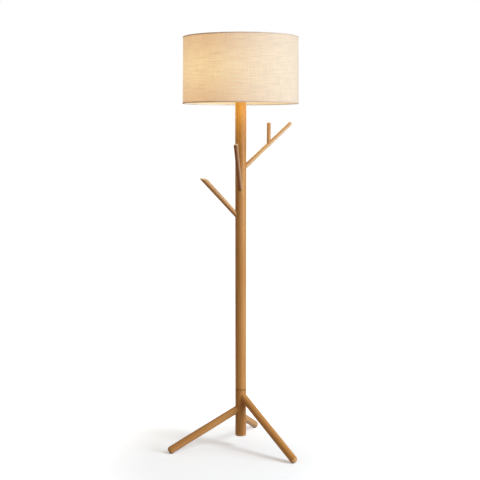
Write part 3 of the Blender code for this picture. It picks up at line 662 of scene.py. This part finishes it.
poleSet = {
    "insertDepth": 18.6 * mm, "insertBore": 8.3 * mm, "studDepth": 28 * mm, "studBore": 5.3 * mm,
    "wiring": 5 * mm, "chamfer": 1.2 * mm, "columns": 96,
    "boltPast": 6 * mm, "branchCutter": 50 * mm,
    "outletBore": 4.9 * mm, "outletFlange": 7.3 * mm, "outletSeat": 19.5 * mm, "outletCutter": 40 * mm,
}


def branchSocket(name):
    crossing, along, _ = branchLine(name)
    seat = branchSet["seat"] - gap
    return steppedHole(crossing, along, seat - poleSet["boltPast"], branchSet["boltBore"], seat,
                       branchRadius(name, seat) + gap, poleSet["branchCutter"], branchSet["columns"])


def outletHole():
    # for the gland, at the back of the pole
    origin = poleAxis + up * boxCentre("cord_gland")[2]
    neck, flange, seat, reach = pick(poleSet, "outletBore outletFlange outletSeat outletCutter")
    return steppedHole(origin, heading(90), 0, neck, seat, flange, reach, 48)


def makePole():
    low, high = poleLow[2], poleTop
    chamfer, insert, insertBore = pick(poleSet, "chamfer insertDepth insertBore")
    studBore, wiring = pick(poleSet, "studBore wiring")
    studEnd = low + poleSet["studDepth"]
    profile = [(low, insertBore), (low, poleRadius - chamfer), (low + chamfer, poleRadius)]
    profile += [(high - chamfer, poleRadius), (high, poleRadius - chamfer), (high, insertBore)]
    profile += [(high - insert, insertBore), (high - insert, wiring), (studEnd + gap, wiring)]
    profile += [(studEnd, studBore), (low + insert, studBore), (low + insert, insertBore)]
    profile = finer(profile + profile[:1], 7 * mm)[:-1]
    points = turnedPoints(poleAxis, up, profile, poleSet["columns"], handSanded)
    holes = [branchSocket(name) for name in ("right", "left", "front")] + [outletHole()]
    mesh = combined(closedMesh(points, loop=True), "DIFFERENCE", holes)
    # the timber drawn darker along the joint with the hub
    joint = (poleAxis + (0, 0, low), up, hubSet["jointReach"], hubSet["jointGrime"])
    addTimber("pole", mesh, poleAxis, up, (-0.006, 0.012, 0.0), [joint])


glandSet = {
    "bore": 3.2 * mm, "neck": 4.6 * mm, "flange": 7.0 * mm, "lip": 2.5 * mm, "rounding": 1.2 * mm,
    "columns": 56,
}


def makeGland():
    # a bush with a rounded flange: the way out for the supply lead
    low, high = corners("cord_gland")
    start, end = low[1] - poleAxis[1], high[1] - poleAxis[1]
    bore, neck, flange, rounding = pick(glandSet, "bore neck flange rounding")
    lip = end - glandSet["lip"]
    profile = [(start, bore), (start, neck), (lip, neck), (lip, flange)]
    profile += arc(end - rounding, flange - rounding, rounding, 0, 90, 7)
    profile += arc(end - rounding, bore + rounding, rounding, 90, 180, 7)
    origin = poleAxis + up * boxCentre("cord_gland")[2]
    points = turnedPoints(origin, heading(90), profile, glandSet["columns"])
    mesh = closedMesh(points, loop=True)
    addPiece("cord_gland", mesh, blackPlastic, "stand")


def sawnTip(name, points, profile, crossing, along, length):
    # slides every point along the branch by lean * share, so that the tip lies in the sawn plane; lean is how
    # far the plane stands off the square tip at that point, and share fades to nothing below the tip
    cut = np.array(branchSet["cuts"][name])
    s = np.array(profile)[:, 0][:, None]
    across = points - crossing - s[..., None] * along
    share = (1 - (length - s) / branchSet["cutFade"]).clip(0, 1)
    lean = -(across @ cut) / (along @ cut)
    return points + (share * lean)[..., None] * along


def paintedLightStrip(name, crossing, along, radius):
    # the plane that touches the branch along its lit side, where painted light is drawn
    side, amount = branchSet["sapwood"][name]
    outwards = np.array(side) - (np.array(side) @ along) * along
    outwards /= np.linalg.norm(outwards)
    return crossing + outwards * radius, outwards, radius, amount


def makeBranch(name, number):
    crossing, along, length = branchLine(name)
    seat, rounding = branchSet["seat"], branchSet["rounding"]
    bore, boreEnd = branchSet["boltBore"], branchSet["seat"] + branchSet["boltDepth"]
    tip = branchRadius(name, length)
    profile = [(boreEnd, pinhole), (boreEnd, bore), (seat, bore), (seat, branchRadius(name, seat))]
    profile += arc(length - rounding, tip - rounding, rounding, 0, 90, 7)
    profile = finer(profile + [(length, tip * 0.5), (length, pinhole)], 4 * mm)
    points = turnedPoints(crossing, along, profile, branchSet["columns"], handSanded)
    if name in branchSet["cuts"]:
        points = sawnTip(name, points, profile, crossing, along, length)
    mesh = closedMesh(points)
    if name == "right":
        mesh = combined(mesh, "DIFFERENCE", [dowelHole()])
    sawn = (crossing + along * length, branchSet["cuts"].get(name, along), branchSet["sawnReach"], 1.0)
    marks = [sawn, paintedLightStrip(name, crossing, along, tip)]
    offset = np.array((0.017, -0.012, 1.3)) * number
    addTimber("branch_" + name, mesh, crossing, along, offset, marks, branchSet["paleness"][name])


def dowelHole():
    # the shape cut from the right branch for the twig's dowel
    low, high = corners("twig_dowel")
    bottom, top, radius = low[2] - gap, high[2] + gap, boxRadius("twig_dowel") + gap
    profile = [(bottom, pinhole), (bottom, radius), (top, radius), (top, pinhole)]
    return closedMesh(turnedPoints(boxCentre("twig_dowel") * inPlan, up, profile, 32))


def saddleHeight(points, share):
    # height of the right branch's upper side under each point: the upper root of a z^2 + b z + c = 0, where
    # an upright line through the point leaves the round bar
    crossing, along, _ = branchLine("right")
    flat = points - crossing
    flat[..., 2] = 0
    bar = branchRadius("right", share) + gap
    lean, run = along[2], flat @ along
    a, b = 1 - lean * lean, -2 * lean * run
    c = (flat ** 2).sum(-1) - run * run - bar * bar
    return (-b + np.sqrt((b * b - 4 * a * c).clip(0, None))) / (2 * a) + crossing[2]


def makeTwig():
    # an upright peg whose foot is hollowed to sit on the right branch
    centre, radius, top = boxCentre("twig") * inPlan, boxRadius("twig"), corners("twig")[1][2]
    crossing, along, _ = branchLine("right")
    share = np.linalg.norm((centre - crossing)[:2]) / np.linalg.norm(along[:2])
    root = (crossing + along * share)[2]
    dowelTop, bore, rounding = corners("twig_dowel")[1][2] + gap, twigSet["dowelBore"], twigSet["rounding"]
    profile = [(dowelTop, pinhole), (dowelTop, bore), (root, bore), (root, radius)]
    profile += arc(top - rounding, radius - rounding, rounding, 0, 90, 6)
    profile = finer(profile + [(top, radius * 0.5), (top, pinhole)], 3 * mm)
    points = turnedPoints(centre, up, profile, twigSet["columns"], handSanded)
    s = np.array(profile)[:, 0][:, None]
    outside = (np.arange(len(profile)) > 1)[:, None]  # the first two rows are the bore's end, and stay
    fade = (1 - (s - root) / twigSet["saddleFade"]).clip(0, 1) * outside
    points[..., 2] += fade * (saddleHeight(points, share) - root)
    sawn = (centre + up * top, up, branchSet["sawnReach"], 1.0)
    addTimber("twig", closedMesh(points), centre, up, (0.031, 0.008, 5.2), [sawn], twigSet["paleness"])


for number, name in enumerate(("front", "back", "left"), 1):
    makeLeg(name, number)
    makeFootPad(name)
makeHub()
makePole()
makeGland()
for number, name in enumerate(("right", "left", "front"), 4):
    makeBranch(name, number)
makeTwig()
print("stand made")


coverLow, coverHigh = corners("shade_cover")
shadeSet = {
    "fabric": 0.6 * mm, "liner": 0.8 * mm, "lap": 12 * mm, "seamAzimuth": 96.0, "tape": 0.6 * mm,
    "topRadius": 219.2 * mm, "bottomRadius": boxRadius("shade_cover"), "wire": 1.5 * mm, "around": 432,
    "rows": 46, "overlapLift": 0.15 * mm, "ease": 0.16 * mm, "skirt": 4.5 * mm, "fold": 0.55 * mm,
    "swell": 0.1 * mm, "hemWave": 0.06 * mm,
}
wallDepth = shadeSet["fabric"] + shadeSet["liner"] + 2 * gap  # from the cover's face to the wire
seamRise = shadeSet["fabric"] + shadeSet["overlapLift"]


def smooth(share):
    share = share.clip(0, 1)
    return share * share * (3 - 2 * share)


def shadeRadius(height):
    share = (height - coverLow[2]) / (coverHigh[2] - coverLow[2])
    return shadeSet["bottomRadius"] + (shadeSet["topRadius"] - shadeSet["bottomRadius"]) * share


def seamLift(angle):
    # how far the cloth's outer end rides up over its inner end: a soft step, then level across the lap
    lap = shadeSet["lap"] / shadeSet["topRadius"]
    past = np.mod(angle - math.radians(shadeSet["seamAzimuth"]) + math.pi, 2 * math.pi) - math.pi
    rise, fall = (past + lap * 1.7) / (lap * 0.8), 1 - (past - lap * 0.55) / (lap * 0.25)
    return smooth(rise) * smooth(fall) * seamRise


def makeCover():
    # one strip of linen: angle runs once round and a lap further, height runs up the drum. The last of the
    # strip rides over its start.
    lap = shadeSet["lap"] / shadeSet["topRadius"]
    start = math.radians(shadeSet["seamAzimuth"]) - lap / 2
    columns, rows = shadeSet["around"], shadeSet["rows"]
    angle = np.linspace(start, start + 2 * math.pi + lap, columns)[None, :]
    height = np.linspace(coverLow[2], coverHigh[2], rows)[:, None]
    turned = angle - start
    lift = smooth((turned - (2 * math.pi - lap * 1.2)) / (lap * 0.9)) * seamRise
    middle = np.sin(math.pi * (height - coverLow[2]) / (coverHigh[2] - coverLow[2])) ** 0.5
    ease = np.sin(angle * 7 + height * 18) * 0.5 + np.sin(angle * 13 - height * 29 + 0.7) * 0.35
    radius = shadeRadius(height) + lift + ease * middle * shadeSet["ease"]
    points = np.stack([radius * np.cos(angle), radius * np.sin(angle), height + 0 * angle], -1) + poleAxis
    index = np.arange(rows * columns).reshape(rows, columns)
    quads = np.stack([index[:-1, :-1], index[:-1, 1:], index[1:, 1:], index[1:, :-1]], -1).reshape(-1, 4)
    mesh = meshOf(points.reshape(-1, 3).tolist(), quads.tolist())
    along = turned * shadeSet["topRadius"] + 0 * height
    cloth = np.stack([along, height - coverLow[2] + 0 * along], -1).reshape(-1, 2)
    setCloth(mesh, cloth[quads.ravel()])
    cover = addPiece("shade_cover", mesh, linen, "shade")
    wall = cover.modifiers.new("thickness", "SOLIDIFY")
    wall.thickness, wall.offset = shadeSet["fabric"], -1
    return cover


def setCloth(mesh, places):
    layer = mesh.uv_layers.new(name="cloth")
    layer.data.foreach_set("uv", np.asarray(places, np.float32).ravel())


def ringLoop(profile, columns, lift=None, wave=None):
    # a closed profile of (height, radius) carried round the pole's axis; lift and wave move it by angle
    a = np.linspace(0, 2 * math.pi, columns, endpoint=False)[None, :]
    z, radius = (np.array(profile).T)[..., None]
    radius = radius + (lift(a) if lift else 0) + 0 * a
    z = z + (wave(a) if wave else 0) + 0 * a
    points = np.stack([radius * np.cos(a), radius * np.sin(a), z], -1) + poleAxis
    return closedMesh(points, loop=True)


def ringCloth(mesh, profile, columns):
    # cloth places for a ringLoop: the way round, and the way along the profile
    steps = [math.dist(a, b) for a, b in zip(profile, profile[1:] + profile[:1])]
    along = np.concatenate([[0], np.cumsum(steps)])
    u = np.arange(columns + 1) * 2 * math.pi * shadeSet["topRadius"] / columns
    k, j = np.meshgrid(np.arange(len(profile)), np.arange(columns), indexing="ij")
    corner = [(u[j], along[k]), (u[j + 1], along[k]), (u[j + 1], along[k + 1]), (u[j], along[k + 1])]
    setCloth(mesh, np.stack([np.stack(c, -1) for c in corner], -2).reshape(-1, 2))


def makeHem(node, edge, side):
    # a tape folded over the edge of the shade: a skirt outside, the fold over the wire, and a lip inside
    tape, skirt, fold, swell = pick(shadeSet, "tape skirt fold swell")
    outer = shadeRadius(edge) + gap
    inner = shadeRadius(edge) - wallDepth - 2 * shadeSet["wire"]
    end = edge - side * skirt
    inside = edge - side * tape
    profile = [(end, outer), (end - side * swell * 1.2, outer + tape * 0.5), (end, outer + tape)]
    bulge = [(t * skirt, swell * math.sin(math.pi * t)) for t in (0.2, 0.4, 0.6)]
    profile += [(end + side * rise, outer + tape + swollen) for rise, swollen in bulge]
    profile += arc(edge - side * fold, outer + tape - fold, fold, 0, side * 90, 7)
    profile += [(edge, outer - 1.5 * mm), (edge, inner + 1.0 * mm)]
    profile += [(edge - side * swell, inner + swell), (inside, inner), (inside, inner + 1.2 * mm)]
    profile += [(inside, outer)]
    if side < 0:
        profile.reverse()
    columns = shadeSet["around"]
    mesh = ringLoop(profile, columns, seamLift,
                    lambda a: np.sin(a * 19 + side) * np.sin(a * 7) * shadeSet["hemWave"])
    ringCloth(mesh, profile, columns)
    return addPiece(node, mesh, hemTape, "shade")


def makeLiner():
    low, high = corners("shade_liner")
    outer = shadeSet["fabric"] + gap
    inner = outer + shadeSet["liner"]
    heights = np.linspace(low[2], high[2], 26)
    profile = [(z, shadeRadius(z) - outer) for z in heights]
    profile += [(z, shadeRadius(z) - inner) for z in heights[::-1]]
    addPiece("shade_liner", ringLoop(profile, 288), linerFilm, "shade")


def wireCircle(node):
    wire = shadeSet["wire"]
    profile = arc(boxCentre(node)[2], boxRadius(node) - wire, wire, 0, 360, 15)[:-1]
    addPiece(node, ringLoop(profile, 288), whiteSteel, "shade", sharp=60)


fitterSet = {
    "thickness": 2 * mm, "outer": 30 * mm, "bore": 20.4 * mm, "edge": 0.5 * mm, "columns": 120,
    "azimuths": (90.0, 210.0, 330.0), "armStart": 27 * mm, "rod": 1.6 * mm, "weld": 2.4 * mm,
}


def fitterArm(azimuth, ringMiddle):
    # a rod from the ring to the bottom wire, swollen by a weld at each end
    out, rod, weld = heading(azimuth), fitterSet["rod"], fitterSet["weld"]
    reach = boxRadius("bottom_wire") - shadeSet["wire"] * 1.75
    start = poleAxis + out * fitterSet["armStart"] + up * ringMiddle
    end = poleAxis + out * reach + up * (boxCentre("bottom_wire")[2] + gap)
    span = np.linalg.norm(end - start)
    arm = [(-1.0 * mm, pinhole), (-0.6 * mm, 1.3 * mm), (0, 2.1 * mm), (2 * mm, weld), (5 * mm, 1.9 * mm)]
    arm += [(8 * mm, rod), (span - 6 * mm, rod), (span - 3 * mm, 1.8 * mm), (span - 1.2 * mm, 1.7 * mm)]
    arm += [(span - 0.2 * mm, 1.2 * mm), (span, pinhole)]
    return closedMesh(turnedPoints(start, (end - start) / span, finer(arm, 9 * mm), 24))


def makeFitter():
    # the flat ring that sits on the holder, and its three arms
    thick, outer, bore, edge = pick(fitterSet, "thickness outer bore edge")
    top = corners("retaining_ring")[0][2] - gap
    profile = [(top - thick, bore + edge), (top - thick, outer - edge)]
    profile += arc(top - thick + edge, outer - edge, edge, -60, 0, 3)
    profile += arc(top - edge, outer - edge, edge, 0, 90, 4) + [(top, bore + edge), (top - edge, bore)]
    ring = ringLoop(profile + [(top - thick + edge, bore)], fitterSet["columns"])
    arms = [fitterArm(azimuth, top - thick / 2) for azimuth in fitterSet["azimuths"]]
    addPiece("shade_fitter", combined(ring, "UNION", arms), whiteSteel, "shade", sharp=50)


cover = makeCover()
topHem = makeHem("top_hem", corners("top_hem")[1][2], 1)
bottomHem = makeHem("bottom_hem", corners("bottom_hem")[0][2], -1)
makeLiner()
wireCircle("top_wire")
wireCircle("bottom_wire")
makeFitter()
flatWidth = 2 * math.pi * shadeSet["topRadius"] + shadeSet["lap"]
print("shade made")


def ribs(count, depth, fromRadius):
    # a grip: shallow round flutes wherever the profile is wider than fromRadius
    return lambda s, a, radius: -depth * (0.5 - 0.5 * np.cos(count * a)) * (radius > fromRadius)


ringSet = {
    "bore": 20.4 * mm, "body": 25 * mm, "flange": 27.5 * mm, "flangeHeight": 2.8 * mm, "bevel": 0.4 * mm,
    "flutes": 36, "fluteDepth": 0.7 * mm, "columns": 288,
}


def makeRetainingRing():
    # a fluted ring with a wider flange at its foot
    low, high = corners("retaining_ring")
    bottom, top = low[2], high[2]
    bore, body, flange, flangeTop, bevel = pick(ringSet, "bore body flange flangeHeight bevel")
    profile = [(bottom, bore + bevel), (bottom, flange - bevel), (bottom + bevel, flange)]
    profile += [(bottom + flangeTop - bevel, flange), (bottom + flangeTop, flange - bevel)]
    profile += [(bottom + flangeTop + 0.5 * mm, body), (top - bevel * 2, body)]
    profile += [(top - bevel / 2, body - bevel), (top, body - 1 * mm), (top, bore + bevel * 1.5)]
    profile += [(top - bevel * 1.5, bore), (bottom + bevel, bore)]
    grip = ribs(ringSet["flutes"], ringSet["fluteDepth"], body - 0.7 * mm)
    points = turnedPoints(poleAxis, up, profile, ringSet["columns"], grip)
    mesh = closedMesh(points, loop=True)
    addPiece("retaining_ring", mesh, blackPlastic, "retaining_ring", sharp=40)


knobSet = {
    "height": 19 * mm, "azimuth": 60, "stem": 2.4 * mm, "start": 11 * mm, "neck": 21 * mm, "end": 33 * mm,
    "radius": 6.2 * mm, "dish": 0.3 * mm, "flutes": 18, "fluteDepth": 0.5 * mm, "columns": 144,
}


def makeSwitchKnob():
    # a fluted cap with a dished face, on a thin stem out of the lampholder
    holder = poleAxis + (0, 0, poleTop + knobSet["height"])
    start, neck, end, stem, radius = pick(knobSet, "start neck end stem radius")
    face = end - knobSet["dish"]
    profile = [(start, pinhole), (start, stem), (neck, stem), (neck, radius - 0.8 * mm)]
    profile += [(neck + 1.5 * mm, radius), (end - 1.4 * mm, radius), (end - 0.6 * mm, radius - 0.3 * mm)]
    profile += [(end - 0.1 * mm, radius - 1 * mm), (end, radius - 2 * mm), (face, radius - 2.8 * mm)]
    profile += [(face, pinhole)]
    grip = ribs(knobSet["flutes"], knobSet["fluteDepth"], radius - 1.2 * mm)
    profile, along = finer(profile, 2 * mm), heading(knobSet["azimuth"])
    points = turnedPoints(holder, along, profile, knobSet["columns"], grip)
    addPiece("switch_knob", closedMesh(points), blackPlastic, "switch_knob", sharp=40)


bulbSet = {
    "glass": 0.9 * mm, "neck": 12.2 * mm, "waist": 7.6 * mm, "leaves": -36, "crown": 89.5, "draw": 1.55,
    "columns": 96,
}


def makeBulb():
    # a round opal envelope: most of a sphere, drawn in to a neck by
    # radius = neck + (shoulder - neck) * t ** draw
    radius = boxRadius("bulb_glass")
    glass, neck, leaves, crown = pick(bulbSet, "glass neck leaves crown")
    neckLow, waist = bulbLow[2], bulbLow[2] + bulbSet["waist"]
    globe = arc(bulbHeight, 0, radius, leaves, crown, 40)
    shoulderZ, shoulderR = globe[0]
    steps = np.linspace(0, 1, 12)[:-1]
    draw = bulbSet["draw"]
    drawn = [(waist + (shoulderZ - waist) * t, neck + (shoulderR - neck) * t ** draw) for t in steps]
    outer = [(neckLow, neck)] + drawn + globe
    inner = [(z, max(r - glass, pinhole)) for z, r in [(neckLow, neck)] + drawn]
    inner += arc(bulbHeight, 0, radius - glass, leaves, crown, 40)
    mesh = closedMesh(turnedPoints(poleAxis, up, inner[::-1] + outer, bulbSet["columns"]))
    addPiece("bulb_glass", mesh, opalGlass, "bulb", sharp=60)


makeRetainingRing()
makeSwitchKnob()
makeBulb()
print("holder and bulb made")


nodeFinish = {  # by how the nodes' names start
    zincSteel: "leg_bolt branch_bolt joint_stud nipple top_plate lock_nut",
    brass: "leg_insert hub_insert pole_insert top_insert terminal_screw screw_shell centre_contact "
           "bulb_contact",
    blackPlastic: "holder_cap holder_body bulb_insulator",
    ceramic: "terminal_block",
    aluminium: "bulb_cap",
    opalGlass: "bulb_stem",
    filamentWire: "filament",
    dowelWood: "twig_dowel",
}
for material, starts in nodeFinish.items():
    for name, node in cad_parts.items():
        if name.startswith(tuple(starts.split())):
            node.material_slots[0].material = material
print("CAD pieces finished")


lightSet = {
    # kind, place from the middle of the pole, power, size (degrees for the sun) and colour
    "side": ("AREA", (3.35, -1.75, 0.15), 104.0, 2.0, (0.86, 1.0, 1.20)),
    "fill": ("AREA", (-3.4, -0.2, 0.3), 11.0, 1.6, (1.0, 0.92, 0.80)),
    "sun": ("SUN", (0.62, -0.42, 0.66), 1.15, 18.0, (0.90, 1.0, 1.06)),
    "bulbLight": ("POINT", (0, 0, bulbHeight - 0.9), 1.3, 36 * mm, (1.0, 0.74, 0.40)),
}
poleGlowSet = {
    "count": 6, "power": 0.42, "colour": (1.0, 0.98, 0.22), "size": 20 * mm, "cone": 80, "rightCut": 0.4,
    # the spots' ring, how far it is above the shade's lower edge, and the place they aim at below it
    "ring": 150 * mm, "lift": 22 * mm, "aim": -60 * mm,
}
studioSet = {
    "ambient": (0.32, 0.275, 0.235), "floorSize": 160.0, "middleHeight": 0.9,
    # the floor's glow rises from its first value to its second over floorReach from floorMiddle
    "floorSeen": (0.95, 0.965, 0.97), "floorBounce": 0.58, "floorGlow": (0.26, 0.66),
    "floorReach": (0.22, 0.85), "floorMiddle": (-0.08, -0.20),
}


def addLight(name, kind, place, target, power, colour, size):
    data = bpy.data.lights.new(name, kind)
    data.energy, data.color = power, colour
    if kind == "AREA":
        data.shape, data.size = "DISK", size
    elif kind == "SUN":
        data.angle = math.radians(size)
    else:
        data.shadow_soft_size = size
    light = placed(name, data)
    light.location = place
    away = np.array(place) - np.array(target)
    light.rotation_euler = (math.atan2(math.hypot(away[0], away[1]), away[2]), 0,
                            math.atan2(away[1], away[0]) + math.pi / 2)
    light.visible_camera = False
    return light


def makeStudio():
    middle = poleAxis + up * studioSet["middleHeight"]
    for name, (kind, place, power, size, colour) in lightSet.items():
        addLight(name, kind, middle + place, middle, power, colour, size)
    # a ring of small spots inside the shade's rim for the light that it throws back on the pole
    rim = poleAxis + up * coverLow[2]
    count, power, colour, size, ring, lift = pick(poleGlowSet, "count power colour size ring lift")
    for number in range(count):
        out = heading(360 * (number + 0.5) / count)
        place, target = rim + out * ring + up * lift, rim + up * poleGlowSet["aim"]
        dimmed = power * (1 - poleGlowSet["rightCut"] * max(out[0], 0))
        glow = addLight(f"poleGlow{number}", "SPOT", place, target, dimmed, colour, size)
        glow.data.spot_size, glow.data.spot_blend = math.radians(poleGlowSet["cone"]), 1.0


def makeWorld():
    # white behind the lamp, and a softer light on it
    r = Recipe("studio", bpy.data.worlds)
    ambient = r.node("Background", {}, {"Color": studioSet["ambient"]})
    white = r.node("Background", {}, {"Color": (1, 1, 1)})
    scene.world = r.show("World Output", ambient, white)


def makeFloor():
    # a pale floor that runs into the white behind it; it throws back less light than it shows
    half = studioSet["floorSize"] / 2
    square = [(-half, -half, 0), (half, -half, 0), (half, half, 0), (-half, half, 0)]
    mesh = meshOf(square, [(0, 1, 2, 3)])
    floor = placed("floor", mesh)
    r = Recipe("paleFloor")
    mottle = r.noise(r.objectPlace(), (3, 3, 3), detail=2.0)
    seen = studioSet["floorSeen"]
    colour = r.ramp(mottle, (0.3, seen), (0.7, tuple(0.98 * channel for channel in seen)))
    x, y, _ = r.split(r.objectPlace())
    middle = poleAxis[:2] + studioSet["floorMiddle"]
    away = ((x - middle[0]) ** 2.0 + (y - middle[1]) ** 2.0) ** 0.5
    glow = r.remap(away, studioSet["floorReach"], studioSet["floorGlow"])
    r.finish(colour=colour, roughness=0.7, glow=r.join(glow, glow, glow), glowStrength=1.0, specular=0.1)
    bounce = r.node("BsdfDiffuse", {}, {"Color": [studioSet["floorBounce"]] * 3})
    mesh.materials.append(r.show("Material Output", bounce, Socket(r, r.shader.outputs[0])))


makeWorld()
makeStudio()
makeFloor()
print("studio set")
